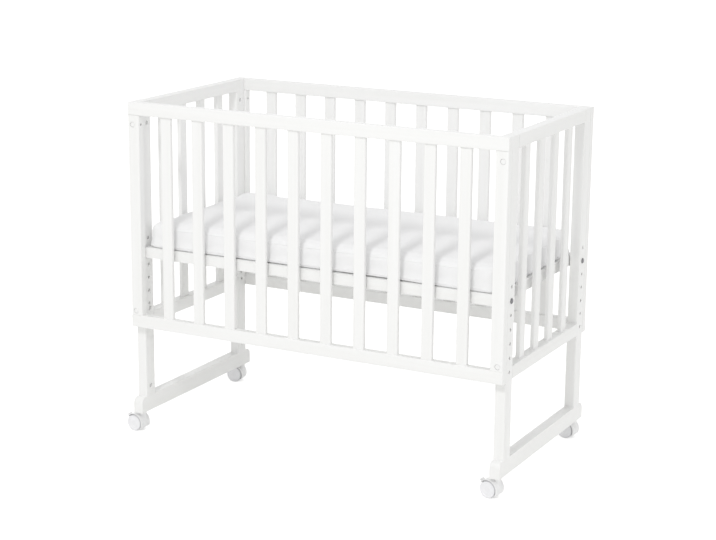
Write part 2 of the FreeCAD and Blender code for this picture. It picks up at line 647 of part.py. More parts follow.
def base_fittings():
    """The bolts through the posts into the base, and their cross dowels."""
    bolts = new_body("base_bolts", "centre_x")
    turned = new_sketch(bolts, "XZ", right="-length / 2", up="base_z", out="post_y")
    quarter = "AttachmentOffset.Rotation"
    turned.setExpression(quarter, "create(<<rotation>>; create(<<vector>>; 0; 0; 1); -90)")
    bolt_profile(turned, "base_bolt_length", 1)
    revolve(bolts, turned)
    dowels = new_body("base_barrel_nuts", "centre_x")
    round_bar = new_sketch(dowels, "XY", right="base_barrel_inset - base_length / 2", up="-post_y",
                           out="base_z")
    circle(round_bar, "barrel_diameter")
    pad(dowels, round_bar, "barrel_length")
    thread = new_sketch(dowels, "YZ", right="-post_y", up="base_z")
    circle(thread, "bolt_diameter + 2 * fit_play")
    pocket(dowels, thread)
    for body in (bolts, dowels):
        mirror(body, "YZ")
        mirror(body, "XZ")


def foot_fittings():
    """The bolts up through the foot bars into the posts, and their cross dowels."""
    bolts = new_body("foot_bolts", "centre_x")
    turned = new_sketch(bolts, "XZ", right="-post_x", up="foot_head_z", out="post_y")
    bolt_profile(turned, "foot_bolt_length", 1)
    revolve(bolts, turned)
    dowels = new_body("foot_barrel_nuts", "centre_x")
    round_bar = new_sketch(dowels, "YZ", right="-post_y", up="foot_barrel_z", out="-post_x")
    circle(round_bar, "barrel_diameter")
    pad(dowels, round_bar, "barrel_length")
    thread = new_sketch(dowels, "XY", right="-post_x", up="-post_y")
    circle(thread, "bolt_diameter + 2 * fit_play")
    pocket(dowels, thread)
    for body in (bolts, dowels):
        mirror(body, "YZ")
        mirror(body, "XZ")


def polar(radius, angle):
    """A point at a radius and angle from the axle, seen from the side."""
    return "%s * cos(%s)" % (radius, angle), "%s * sin(%s)" % (radius, angle)


def beside(radius, angle, aside):
    """A point out along a sloping line through the axle, then square to it."""
    return ("%s * cos(%s) - %s * sin(%s)" % (radius, angle, aside, angle),
            "%s * sin(%s) + %s * cos(%s)" % (radius, angle, aside, angle))


def castor_body(name, piece):
    """A piece in a castor's own frame: its stem's axis on the floor, its wheels behind at -X."""
    side, end = name.split("_")
    x = "centre_x %s post_x" % ("-" if end == "left" else "+")
    y = "%scastor_y" % ("-" if side == "front" else "")
    return new_body("castor_%s_%s" % (name, piece), x, y, "0", name + "_heading")


def axle_sketch(body, out="0"):
    """A sketch seen from the side, its origin at the wheel axle."""
    return new_sketch(body, "XZ", right="-castor_trail", up="wheel_radius", out=out)


def castor_stem(name):
    """The stem pressed into the foot bar, with the collar that carries the load."""
    body = castor_body(name, "stem")
    turned = new_sketch(body, "XZ", up="collar_z")
    polygon(turned, [
        ("0", "-stem_lower_length"),
        ("stem_diameter / 2 - stem_gap", "-stem_lower_length"),
        ("stem_diameter / 2", "stem_gap - stem_lower_length"),
        ("stem_diameter / 2", "0"),
        ("stem_collar_diameter / 2", "0"),
        ("stem_collar_diameter / 2", "stem_collar_thickness"),
        ("stem_diameter / 2", "stem_collar_thickness"),
        ("stem_diameter / 2", "stem_collar_thickness + stem_upper_length"),
        ("0", "stem_collar_thickness + stem_upper_length"),
    ])
    revolve(body, turned)


def hood(body):
    """The hood over both wheels with its middle wall and the bosses for axle and stem."""
    disc = axle_sketch(body)
    circle(disc, "2 * hood_radius")
    pad(body, disc, "hood_width")
    far = "3 * hood_radius"
    behind = axle_sketch(body)
    polygon(behind, [("0", "0"), polar(far, "hood_stop"), ("-" + far, "0"), ("-" + far, "-" + far),
                     ("0", "-" + far), polar(far, "hood_start")])
    pocket(body, behind)
    wall = axle_sketch(body)
    circle(wall, "2 * cheek_radius")
    pad(body, wall, "web_thickness")
    below = axle_sketch(body)
    polygon(below, [("0", "0"), polar(far, "cheek_stop"), ("-" + far, "-" + far), ("0", "-" + far),
                    polar(far, "hood_start")])
    pocket(body, below)
    boss = axle_sketch(body)
    circle(boss, "axle_boss_diameter")
    pad(body, boss, "web_thickness")
    stem_boss = new_sketch(body, "XY", out="wheel_radius")
    circle(stem_boss, "stem_boss_diameter")
    pad(body, stem_boss, "collar_z - stem_gap - wheel_radius", both=False)


def castor_housing(name):
    """The castor's housing: hood, wheel wells, stem socket and the slot for the brake lever."""
    body = castor_body(name, "housing")
    hood(body)
    for sign in (-1, 1):
        well = axle_sketch(body, out="%d * web_thickness / 2" % sign)
        circle(well, "2 * well_radius")
        pocket(body, well, "hood_width", out=sign > 0)
    axle_bore = axle_sketch(body)
    circle(axle_bore, "axle_diameter")
    pocket(body, axle_bore)
    socket = new_sketch(body, "XY", out="collar_z")
    circle(socket, "stem_diameter + 2 * running_play")
    pocket(body, socket, "stem_lower_length + end_play")
    slot = axle_sketch(body)
    root = "(axle_boss_diameter / 2 + slot_wall)"
    outside = "(2 * hood_radius - wheel_radius)"
    polygon(slot, [polar(root, "(brake_pin_angle - slot_room)"),
                   polar("wheel_radius", "(brake_pin_angle - slot_room)"),
                   polar(outside, "hood_stop"),
                   polar(outside, "(cheek_stop + slot_room)"),
                   polar(root, "cheek_stop")])
    pocket_between(body, slot, "brake_tongue + 2 * fit_play")
    pin = new_sketch(body, "XZ", right="brake_pin_radius * cos(brake_pin_angle) - castor_trail",
                     up="brake_pin_radius * sin(brake_pin_angle) + wheel_radius")
    circle(pin, "brake_pin_diameter + 2 * running_play")
    pocket(body, pin)


def castor_axle(name):
    """The axle, fast in the middle wall and free in both wheels."""
    body = castor_body(name, "axle")
    face = axle_sketch(body)
    circle(face, "axle_diameter")
    pad(body, face, "2 * (wheel_face + axle_engagement)")


def castor_wheel(name, piece, sign):
    """A wheel: rim with bevelled tread, dished disc, hub with a blind bore for the axle."""
    body = castor_body(name, piece)
    turned = new_sketch(body, "XY", right="-castor_trail", up="%d * wheel_face" % sign,
                        out="wheel_radius")
    bore = "axle_diameter / 2 + running_play"
    profile = [
        ("0", "axle_engagement + end_play"),
        (bore, "axle_engagement + end_play"),
        (bore, "0"),
        ("hub_diameter / 2", "0"),
        ("hub_diameter / 2", "wheel_width - wheel_disc"),
        ("wheel_radius - rim_thickness", "wheel_width - wheel_disc"),
        ("wheel_radius - rim_thickness", "0"),
        ("wheel_radius - tread_round", "0"),
        ("wheel_radius", "tread_round"),
        ("wheel_radius", "wheel_width - tread_round"),
        ("wheel_radius - tread_round", "wheel_width"),
        ("wheel_radius - rim_band", "wheel_width"),
        ("wheel_radius - rim_band - dish_slope", "wheel_width - dish_depth"),
        ("0", "wheel_width - dish_depth"),
    ]
    polygon(turned, [(radius, "%d * (%s)" % (sign, depth)) for radius, depth in profile])
    revolve(body, turned)


def castor_brake(name):
    """The brake lever: trunnion and tongue between the wheels, pedal outside the hood."""
    body = castor_body(name, "brake_lever")
    tongue = axle_sketch(body)
    aside = "brake_thickness / 2"
    polygon(tongue, [beside("tongue_start", "brake_angle", "tongue_rise"),
                     beside("(brake_start + %s)" % aside, "brake_angle", "tongue_rise"),
                     beside("(brake_start + %s)" % aside, "brake_angle", "-tongue_rise"),
                     beside("tongue_heel", "brake_angle", "-tongue_drop")])
    pad(body, tongue, "brake_tongue")
    for across, length in (("brake_boss_diameter", "brake_tongue"),
                           ("brake_pin_diameter", "web_thickness - end_play")):
        round_bar = new_sketch(body, "XZ", up="brake_pin_radius * sin(brake_pin_angle) + wheel_radius",
                               right="brake_pin_radius * cos(brake_pin_angle) - castor_trail")
        circle(round_bar, across)
        pad(body, round_bar, length)
    pedal = axle_sketch(body)
    polygon(pedal, [beside("brake_start", "brake_angle", aside),
                    beside("brake_reach", "brake_angle", aside),
                    beside("brake_reach", "brake_angle", "-" + aside),
                    beside("brake_start", "brake_angle", "-" + aside)])
    pad(body, pedal, "brake_width")


def castors():
    """The four twin-wheel castors."""
    for name in ("front_left", "front_right", "back_left", "back_right"):
        outward = -1 if name.startswith("front") else 1
        castor_stem(name)
        castor_housing(name)
        castor_axle(name)
        castor_wheel(name, "wheel_outer", outward)
        castor_wheel(name, "wheel_inner", -outward)
        castor_brake(name)


def side_panel(name, side):
    """One long side: two rails, two stiles and the slats between."""
    side_rail(name + "_top_rail", "%d * panel_y" % side, "height - rail_height / 2", True)
    side_rail(name + "_bottom_rail", "%d * panel_y" % side, "box_bottom + rail_height / 2", False)
    stile(name + "_stile_left", -1, side)
    stile(name + "_stile_right", 1, side)
    slat_row(name + "_slats", "centre_x", "%d * panel_y" % side, "x", "side_pitch",
             "side_slat_count")


def end_frame(name, end):
    """One end: two posts on a foot bar, two rails and the slats between."""
    end_rail(name + "_top_rail", end, "height - rail_height / 2", True)
    end_rail(name + "_bottom_rail", end, "box_bottom + rail_height / 2", False)
    post(name + "_post_front", end, -1)
    post(name + "_post_back", end, 1)
    foot_bar(name + "_foot_bar", end)
    slat_row(name + "_slats", "centre_x + %d * post_x" % end, "0", "y", "end_pitch",
             "end_slat_count")


def build():
    """Every piece of the crib."""
    side_panel("front", -1)
    side_panel("back", 1)
    end_frame("left", -1)
    end_frame("right", 1)
    base_side_rail("base_front_rail", -1)
    base_side_rail("base_back_rail", 1)
    base_end_rail("base_left_rail", -1)
    base_end_rail("base_right_rail", 1)
    base_slats()
    mattress()
    side_fittings()
    base_fittings()
    foot_fittings()
    castors()


build()
doc.removeObject("desk")
doc.recompute()
for item in doc.Objects:
    if "Invalid" in item.State or "Error" in item.State:
        raise ValueError("%s did not build: %s" % (item.Label, item.State))
for body in pieces:
    if body.Shape.isNull() or not body.Shape.isValid() or body.Shape.Volume <= 0:
        raise ValueError("%s has no sound shape" % body.Label)

os.makedirs("parts", exist_ok=True)
for body in pieces:
    body.Shape.exportStep("parts/%s.step" % body.Label)
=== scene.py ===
"""Looks for a bedside sleeper crib: white lacquered beech, a cotton-covered mattress and white castors.

Each group of pieces is finished by an operator of its own, with its settings in a property group and
all of them in a panel of the 3D view's sidebar. Metres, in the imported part's frame.
"""
import json
import math

import bmesh
import bpy
from bpy.props import BoolProperty, FloatProperty, FloatVectorProperty, IntProperty, PointerProperty
from bpy.types import Operator, Panel, PropertyGroup
from mathutils import Matrix, Vector, noise
from mathutils.bvhtree import BVHTree

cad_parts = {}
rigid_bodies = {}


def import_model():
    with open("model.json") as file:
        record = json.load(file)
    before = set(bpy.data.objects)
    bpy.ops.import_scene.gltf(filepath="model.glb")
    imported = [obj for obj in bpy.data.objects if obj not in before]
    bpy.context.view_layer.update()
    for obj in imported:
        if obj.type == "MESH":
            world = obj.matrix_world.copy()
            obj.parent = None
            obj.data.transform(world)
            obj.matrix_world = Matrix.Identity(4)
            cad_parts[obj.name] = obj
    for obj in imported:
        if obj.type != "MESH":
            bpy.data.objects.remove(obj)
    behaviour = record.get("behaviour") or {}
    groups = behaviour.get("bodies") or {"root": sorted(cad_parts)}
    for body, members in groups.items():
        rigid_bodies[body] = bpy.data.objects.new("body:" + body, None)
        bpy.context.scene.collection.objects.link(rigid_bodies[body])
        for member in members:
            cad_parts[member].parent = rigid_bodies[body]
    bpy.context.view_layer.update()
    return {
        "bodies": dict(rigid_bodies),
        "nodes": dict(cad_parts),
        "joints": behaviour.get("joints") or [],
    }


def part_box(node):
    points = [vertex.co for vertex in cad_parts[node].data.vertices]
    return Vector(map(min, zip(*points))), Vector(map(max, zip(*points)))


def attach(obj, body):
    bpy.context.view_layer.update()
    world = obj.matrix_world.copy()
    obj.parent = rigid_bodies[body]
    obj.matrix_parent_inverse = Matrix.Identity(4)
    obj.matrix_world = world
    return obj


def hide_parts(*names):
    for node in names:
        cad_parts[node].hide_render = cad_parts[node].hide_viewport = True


bl_info = {
    "name": "Bedside Crib Looks",
    "version": (1, 0, 0),
    "blender": (4, 5, 0),
    "location": "View3D > Sidebar > Crib",
    "description": "Materials, mattress and studio stage for a slatted bedside crib",
    "category": "Object",
}

# The share of a finish's colour that its darker patches keep.
SHADED_PLASTIC = 0.96
SHADED_PLATING = 0.93
SHADED_COTTON = 0.985
HOLLOW_COTTON = 0.95
# Distances from a castor's axle: the edge of the hub, the bevel of the tread, the hood's inner edge,
# within which the hood is painted dark as painted shade.
HUB_RADIUS = 0.006
TREAD_RADIUS = 0.0186
HOOD_PAINTED_SHADE_RADIUS = 0.0216
# The grain is stretched along a board and fine across it.
ALONG_GRAIN = 4.0
ACROSS_GRAIN = 160.0
# A side faces along an axis when its normal's part along that axis is larger than this.
FACES_ALONG = 0.7
HOOD_ROUGHNESS = 0.38
# The cushion: cuts along each edge of its first mesh, how they crowd towards its rim, and how
# squarely its top and its bottom round over.
CUSHION_CUTS = 31
CROWDING = 0.7
TOP_POWER = 3
BOTTOM_POWER = 8
# The cover moves freely from this height above its foot, and rises at most this far over its box.
FREE_HEIGHT = 0.02
TOP_RISE = 0.003
# The cover's unevenness: broad waves along each axis, and smaller folds that slant across the top.
WAVES = (7.0, 9.0, 12.0)
FOLDS = (26.0, 11.0, 16.0)
FOLD_SEED = 3.0
FOLD_SHARE = 0.45
# Each corded seam lies at a share of the mattress's height. Its points are found by aiming at the
# border from this many half sizes away, turned a little from the middle.
SEAMS = (("mattress_seam_top", 0.8), ("mattress_seam_bottom", 0.14))
SEAM_POINTS = 160
SEAM_RADIUS = 0.0011
AIM_FROM = 1.3
AIM_TURN = 0.9
# The stage: where each light stands, where it looks and how large it is, and the floor and lens.
KEY = {"place": (0.45, -3.6, 4.0), "aim": (0.0, 0.0, 0.5), "size": (0.7, 0.7)}
FILL = {"place": (3.6, -0.8, 1.6), "aim": (0.3, 0.0, 0.5), "size": (2.0, 2.0)}
FLOOR_REACH = 30.0
FLOOR_COLOUR = (0.95, 0.95, 0.935, 1.0)
WHITE = (1.0, 1.0, 1.0, 1.0)
SENSOR_WIDTH = 36.0

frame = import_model()


# Node helpers

def new_group(name, inputs, outputs):
    """A shader node group with named sockets, and its own input and output nodes."""
    tree = bpy.data.node_groups.new(name, "ShaderNodeTree")
    for label, kind, default in inputs:
        socket = tree.interface.new_socket(name=label, in_out="INPUT", socket_type=kind)
        socket.default_value = default
    for label, kind in outputs:
        tree.interface.new_socket(name=label, in_out="OUTPUT", socket_type=kind)
    return tree, tree.nodes.new("NodeGroupInput"), tree.nodes.new("NodeGroupOutput")


def add_node(tree, kind, **settings):
    """A node of a kind, with some of its settings."""
    made = tree.nodes.new(kind)
    for name, value in settings.items():
        setattr(made, name, value)
    return made


def math_node(tree, operation, first, second=None):
    """A math node fed by sockets or by plain numbers."""
    made = add_node(tree, "ShaderNodeMath", operation=operation)
    for index, value in enumerate((first, second)):
        if isinstance(value, bpy.types.NodeSocket):
            tree.links.new(value, made.inputs[index])
        elif value is not None:
            made.inputs[index].default_value = value
    return made.outputs[0]


def ramp(tree, value, low, high):
    """A smooth step of a value from 0 at low to 1 at high."""
    made = add_node(tree, "ShaderNodeMapRange", interpolation_type="SMOOTHSTEP")
    made.inputs["From Min"].default_value = low
    made.inputs["From Max"].default_value = high
    tree.links.new(value, made.inputs["Value"])
    return made.outputs["Result"]


def grain_group():
    """Fine lengthwise grain that shows through lacquer, with a roller's faint orange peel."""
    tree, start, end = new_group("Lacquered Grain", (
        ("Stretch", "NodeSocketVector", (ALONG_GRAIN, ACROSS_GRAIN, ACROSS_GRAIN)),
        ("Depth", "NodeSocketFloat", 0.0001),
    ), (("Tone", "NodeSocketFloat"), ("Sheen", "NodeSocketFloat"), ("Normal", "NodeSocketVector")))
    place = add_node(tree, "ShaderNodeTexCoord")
    scaled = add_node(tree, "ShaderNodeVectorMath", operation="MULTIPLY")
    tree.links.new(place.outputs["Object"], scaled.inputs[0])
    tree.links.new(start.outputs["Stretch"], scaled.inputs[1])
    pores = add_node(tree, "ShaderNodeTexNoise")
    pores.inputs["Scale"].default_value = 3.0
    pores.inputs["Detail"].default_value = 6.0
    tree.links.new(scaled.outputs[0], pores.inputs["Vector"])
    broad = add_node(tree, "ShaderNodeTexNoise")
    broad.inputs["Scale"].default_value = 0.4
    broad.inputs["Detail"].default_value = 3.0
    tree.links.new(scaled.outputs[0], broad.inputs["Vector"])
    peel = add_node(tree, "ShaderNodeTexNoise")
    peel.inputs["Scale"].default_value = 520.0
    tree.links.new(place.outputs["Object"], peel.inputs["Vector"])
    height = math_node(tree, "ADD", ramp(tree, pores.outputs[0], 0.38, 0.62),
                       math_node(tree, "MULTIPLY", peel.outputs[0], 0.5))
    bump = add_node(tree, "ShaderNodeBump")
    bump.inputs["Strength"].default_value = 0.35
    tree.links.new(start.outputs["Depth"], bump.inputs["Distance"])
    tree.links.new(height, bump.inputs["Height"])
    tree.links.new(ramp(tree, broad.outputs[0], 0.3, 0.7), end.inputs["Tone"])
    tree.links.new(ramp(tree, peel.outputs[0], 0.3, 0.7), end.inputs["Sheen"])
    tree.links.new(bump.outputs[0], end.inputs["Normal"])
    return tree


def weave_group():
    """A plain weave laid flat on each side of a cushion, with the slubs of uneven yarn."""
    tree, start, end = new_group("Plain Weave", (
        ("Threads", "NodeSocketFloat", 1600.0),
        ("Depth", "NodeSocketFloat", 0.00015),
    ), (("Thread", "NodeSocketFloat"), ("Shade", "NodeSocketFloat"), ("Normal", "NodeSocketVector")))
    place = add_node(tree, "ShaderNodeTexCoord")
    position = add_node(tree, "ShaderNodeSeparateXYZ")
    tree.links.new(place.outputs["Object"], position.inputs[0])
    facing = add_node(tree, "ShaderNodeSeparateXYZ")
    tree.links.new(place.outputs["Normal"], facing.inputs[0])
    x, y, z = position.outputs
    at_end, on_top = (
        math_node(tree, "GREATER_THAN", math_node(tree, "ABSOLUTE", facing.outputs[axis]),
                  FACES_ALONG)
        for axis in (0, 2))
    waves = []
    for choice, first, second in ((at_end, x, y), (on_top, z, y)):
        pick = add_node(tree, "ShaderNodeMix", data_type="FLOAT")
        tree.links.new(choice, pick.inputs[0])
        tree.links.new(first, pick.inputs[2])
        tree.links.new(second, pick.inputs[3])
        turns = math_node(tree, "MULTIPLY", pick.outputs[0], start.outputs["Threads"])
        waves.append(math_node(tree, "SINE", turns))
    crossing = math_node(tree, "MULTIPLY", waves[0], waves[1])
    thread = ramp(tree, crossing, -0.9, 0.9)
    slub = add_node(tree, "ShaderNodeTexNoise")
    slub.inputs["Scale"].default_value = 60.0
    slub.inputs["Detail"].default_value = 4.0
    tree.links.new(place.outputs["Object"], slub.inputs["Vector"])
    bump = add_node(tree, "ShaderNodeBump")
    bump.inputs["Strength"].default_value = 0.5
    tree.links.new(start.outputs["Depth"], bump.inputs["Distance"])
    tree.links.new(math_node(tree, "ADD", thread, slub.outputs[0]), bump.inputs["Height"])
    tree.links.new(thread, end.inputs["Thread"])
    tree.links.new(ramp(tree, slub.outputs[0], 0.3, 0.7), end.inputs["Shade"])
    tree.links.new(bump.outputs[0], end.inputs["Normal"])
    return tree


def moulded_group():
    """The fine spark texture of a moulded plastic surface."""
    tree, start, end = new_group("Moulded Surface", (
        ("Scale", "NodeSocketFloat", 2200.0),
        ("Depth", "NodeSocketFloat", 0.00006),
    ), (("Tone", "NodeSocketFloat"), ("Normal", "NodeSocketVector")))
    place = add_node(tree, "ShaderNodeTexCoord")
    spark = add_node(tree, "ShaderNodeTexNoise")
    tree.links.new(place.outputs["Object"], spark.inputs["Vector"])
    tree.links.new(start.outputs["Scale"], spark.inputs["Scale"])
    cloud = add_node(tree, "ShaderNodeTexNoise")
    cloud.inputs["Scale"].default_value = 90.0
    tree.links.new(place.outputs["Object"], cloud.inputs["Vector"])
    bump = add_node(tree, "ShaderNodeBump")
    bump.inputs["Strength"].default_value = 0.4
    tree.links.new(start.outputs["Depth"], bump.inputs["Distance"])
    tree.links.new(spark.outputs[0], bump.inputs["Height"])
    tree.links.new(ramp(tree, cloud.outputs[0], 0.35, 0.65), end.inputs["Tone"])
    tree.links.new(bump.outputs[0], end.inputs["Normal"])
    return tree


def wheel_group():
    """How far a point of a castor lies from its axle, as masks for tread or rim and for hub, and for
    the painted shade within a hood.
    """
    tree, start, end = new_group("Wheel Zones", (
        ("Centre", "NodeSocketVector", (0.0, 0.0, 0.0)),
        ("Axis", "NodeSocketVector", (0.0, 1.0, 0.0)),
        ("Tread Radius", "NodeSocketFloat", TREAD_RADIUS),
        ("Hub Radius", "NodeSocketFloat", HUB_RADIUS),
    ), (("Tread", "NodeSocketFloat"), ("Hub", "NodeSocketFloat")))
    place = add_node(tree, "ShaderNodeTexCoord")
    offset = add_node(tree, "ShaderNodeVectorMath", operation="SUBTRACT")
    tree.links.new(place.outputs["Object"], offset.inputs[0])
    tree.links.new(start.outputs["Centre"], offset.inputs[1])
    square = add_node(tree, "ShaderNodeVectorMath", operation="CROSS_PRODUCT")
    tree.links.new(offset.outputs[0], square.inputs[0])
    tree.links.new(start.outputs["Axis"], square.inputs[1])
    radius = add_node(tree, "ShaderNodeVectorMath", operation="LENGTH")
    tree.links.new(square.outputs[0], radius.inputs[0])
    tread = math_node(tree, "GREATER_THAN", radius.outputs["Value"], start.outputs["Tread Radius"])
    hub = math_node(tree, "LESS_THAN", radius.outputs["Value"], start.outputs["Hub Radius"])
    tree.links.new(tread, end.inputs["Tread"])
    tree.links.new(hub, end.inputs["Hub"])
    return tree


def brushed_group():
    """Fine scratches and uneven plating on small steel fittings."""
    tree, start, end = new_group("Plated Steel", (
        ("Scale", "NodeSocketFloat", 700.0),
        ("Depth", "NodeSocketFloat", 0.00003),
    ), (("Tone", "NodeSocketFloat"), ("Normal", "NodeSocketVector")))
    place = add_node(tree, "ShaderNodeTexCoord")
    scratch = add_node(tree, "ShaderNodeTexNoise")
    scratch.inputs["Detail"].default_value = 8.0
    tree.links.new(place.outputs["Object"], scratch.inputs["Vector"])
    tree.links.new(start.outputs["Scale"], scratch.inputs["Scale"])
    bump = add_node(tree, "ShaderNodeBump")
    tree.links.new(start.outputs["Depth"], bump.inputs["Distance"])
    tree.links.new(scratch.outputs[0], bump.inputs["Height"])
    tree.links.new(ramp(tree, scratch.outputs[0], 0.3, 0.7), end.inputs["Tone"])
    tree.links.new(bump.outputs[0], end.inputs["Normal"])
    return tree


GROUPS = {
    "grain": grain_group,
    "weave": weave_group,
    "moulded": moulded_group,
    "wheel": wheel_group,
    "brushed": brushed_group,
}
made_groups = {}


def effect(tree, key, **values):
    """One of the shared effects, placed in a material with its own settings."""
    if key not in made_groups:
        made_groups[key] = GROUPS[key]()
    made = tree.nodes.new("ShaderNodeGroup")
    made.node_tree = made_groups[key]
    for name, value in values.items():
        made.inputs[name.replace("_", " ").title()].default_value = value
    return made


def new_material(name, roughness, plain=()):
    """A material, with what is the same all over it set on the shader's own sockets."""
    material = bpy.data.materials.new(name)
    material.use_nodes = True
    shader = material.node_tree.nodes["Principled BSDF"]
    shader.inputs["Roughness"].default_value = roughness
    for label, value in plain:
        shader.inputs[label].default_value = value
    return material, material.node_tree, shader


def darker(colour, share):
    """A colour that keeps a share of its light."""
    return tuple(share * value for value in colour)


def mix_colour(tree, factor, first, second):
    """A colour between two others. A Mix node's colour sockets come after its other kinds."""
    made = add_node(tree, "ShaderNodeMix", data_type="RGBA")
    tree.links.new(factor, made.inputs[0])
    for index, colour in ((6, first), (7, second)):
        if isinstance(colour, bpy.types.NodeSocket):
            tree.links.new(colour, made.inputs[index])
        else:
            made.inputs[index].default_value = (*colour, 1.0)
    return made.outputs[2]


def vary_roughness(tree, shader, factor, low, high):
    """Roughness that runs between two values with a mask."""
    made = add_node(tree, "ShaderNodeMapRange")
    made.inputs["To Min"].default_value = low
    made.inputs["To Max"].default_value = high
    tree.links.new(factor, made.inputs["Value"])
    tree.links.new(made.outputs["Result"], shader.inputs["Roughness"])


def dress(names, material):
    """Gives CAD nodes a material."""
    for name in names:
        node = frame["nodes"][name]
        node.data.materials.clear()
        node.data.materials.append(material)


def nodes_with(*endings):
    """The CAD nodes whose names end in one of these."""
    return [name for name in sorted(frame["nodes"]) if name.endswith(endings)]


# Settings

class CribLacquer(PropertyGroup):
    colour: FloatVectorProperty(name="Lacquer", description="Colour of the lacquer", subtype="COLOR",
                                default=(0.93, 0.93, 0.925))
    low_tone: FloatVectorProperty(name="Grain tone", description="Colour where the grain shows",
                                  subtype="COLOR", default=(0.905, 0.905, 0.895))
    depth: FloatProperty(name="Grain depth", description="Height of the grain under the lacquer",
                         default=0.0001, min=0.0, max=0.001, precision=5, unit="LENGTH")
    roughness: FloatProperty(name="Roughness", description="Roughness of the satin lacquer",
                             default=0.42, min=0.0, max=1.0, subtype="FACTOR")


class CribMattress(PropertyGroup):
    colour: FloatVectorProperty(name="Cotton", description="Colour of the cover", subtype="COLOR",
                                default=(0.955, 0.955, 0.96))
    voxel: FloatProperty(name="Voxel", description="Mesh size before the cloth simulation",
                         default=0.006, min=0.004, max=0.02, precision=4, unit="LENGTH")
    pressure: FloatProperty(name="Pressure", description="Inner pressure of the cloth simulation",
                            default=4.0, min=0.0, max=20.0)
    frames: IntProperty(name="Frames", description="Length of the cloth simulation",
                        default=20, min=1, max=60)
    cap: FloatProperty(name="Most movement", description="How far the simulation may move a point",
                       default=0.006, min=0.0, max=0.03, precision=4, unit="LENGTH")
    corner: FloatProperty(name="Corner", description="Rounding of the corners, seen from above",
                          default=0.018, min=0.005, max=0.1, precision=4, unit="LENGTH")
    top_edge: FloatProperty(name="Top edge", description="Width of the rounding along the top",
                            default=0.016, min=0.002, max=0.1, precision=4, unit="LENGTH")
    bottom_edge: FloatProperty(name="Bottom edge", description="Rounding along the bottom",
                               default=0.002, min=0.001, max=0.1, precision=4, unit="LENGTH")
    crown: FloatProperty(name="Crown", description="Rise of the top at its middle",
                         default=0.005, min=0.0, max=0.05, precision=4, unit="LENGTH")
    waist: FloatProperty(name="Waist", description="Drawing-in of the long borders at half length",
                         default=0.003, min=0.0, max=0.05, precision=4, unit="LENGTH")
    ripple: FloatProperty(name="Ripple", description="Height of the cover's soft unevenness",
                          default=0.0018, min=0.0, max=0.01, precision=4, unit="LENGTH")
    simulate: BoolProperty(name="Simulate", description="Run the cloth simulation", default=True)


class CribCastors(PropertyGroup):
    hood: FloatVectorProperty(name="Hood", description="Colour of the hoods and levers",
                              subtype="COLOR", default=(0.92, 0.92, 0.925))
    # The inside colour is painted shade: a dark colour within each hood for the gap round the wheels
    # and between them.
    inside: FloatVectorProperty(name="Inside", description="Colour within the hoods",
                                subtype="COLOR", default=(0.25, 0.25, 0.26))
    disc: FloatVectorProperty(name="Disc", description="Colour of the wheel discs",
                              subtype="COLOR", default=(0.92, 0.92, 0.94))
    tread: FloatVectorProperty(name="Tread", description="Colour of the treads",
                               subtype="COLOR", default=(0.72, 0.72, 0.74))


class CribStage(PropertyGroup):
    place: FloatVectorProperty(name="Camera", description="Where the camera stands",
                               subtype="TRANSLATION", unit="LENGTH", default=(1.937, -3.682, 1.4377))
    yaw: FloatProperty(name="Yaw", description="Turn of the camera to the left",
                       subtype="ANGLE", default=0.4819)
    pitch: FloatProperty(name="Pitch", description="How far the camera looks down",
                         subtype="ANGLE", default=0.2428)
    roll: FloatProperty(name="Roll", description="Tilt of the camera", subtype="ANGLE",
                        default=0.0094)
    focal: FloatProperty(name="Focal length", description="In widths of the picture",
                         default=2.5206, min=0.5, max=10.0)
    world: FloatProperty(name="Surround", description="Strength of the white surround",
                         default=0.755, min=0.0, max=10.0)
    floor: FloatProperty(name="Floor glow", description="Lightening of the floor that the camera sees",
                         default=0.5, min=0.0, max=1.0)
    key: FloatProperty(name="Key light", description="Power of the light high in front",
                       default=60.0, min=0.0, unit="POWER")
    fill: FloatProperty(name="Fill light", description="Power of the light from the right",
                        default=5.5, min=0.0, unit="POWER")


# Pieces

def lacquer(name, stretch, settings):
    """White satin lacquer over beech with its grain along one axis."""
    material, tree, shader = new_material(name, settings.roughness,
                                          (("Coat Weight", 0.15), ("Coat Roughness", 0.25)))
    grain = effect(tree, "grain", stretch=stretch, depth=settings.depth)
    colour = mix_colour(tree, grain.outputs["Tone"], settings.low_tone, settings.colour)
    tree.links.new(colour, shader.inputs["Base Color"])
    vary_roughness(tree, shader, grain.outputs["Sheen"], settings.roughness - 0.06,
                   settings.roughness + 0.06)
    tree.links.new(grain.outputs["Normal"], shader.inputs["Normal"])
    return material


class CRIB_OT_woodwork(Operator):
    """Lacquer every wooden piece, with the grain along its length"""

    bl_idname = "crib.woodwork"
    bl_label = "Lacquer Woodwork"

    def execute(self, context):
        settings = context.scene.crib_lacquer
        paints = {}
        for axis in "xyz":
            stretch = [ALONG_GRAIN if other == axis else ACROSS_GRAIN for other in "xyz"]
            paints[axis] = lacquer("lacquer_along_" + axis, stretch, settings)
        lengthwise = ["front_top_rail", "front_bottom_rail", "back_top_rail", "back_bottom_rail",
                      "base_front_rail", "base_back_rail"]
        dress(lengthwise, paints["x"])
        across = ["left_top_rail", "left_bottom_rail", "right_top_rail", "right_bottom_rail",
                  "base_left_rail", "base_right_rail", "base_slats"]
        dress(across + nodes_with("foot_bar"), paints["y"])
        upright = ["front_slats", "back_slats", "left_slats", "right_slats"]
        dress(upright + nodes_with("post_front", "post_back", "stile_left", "stile_right"),
              paints["z"])
        return {"FINISHED"}


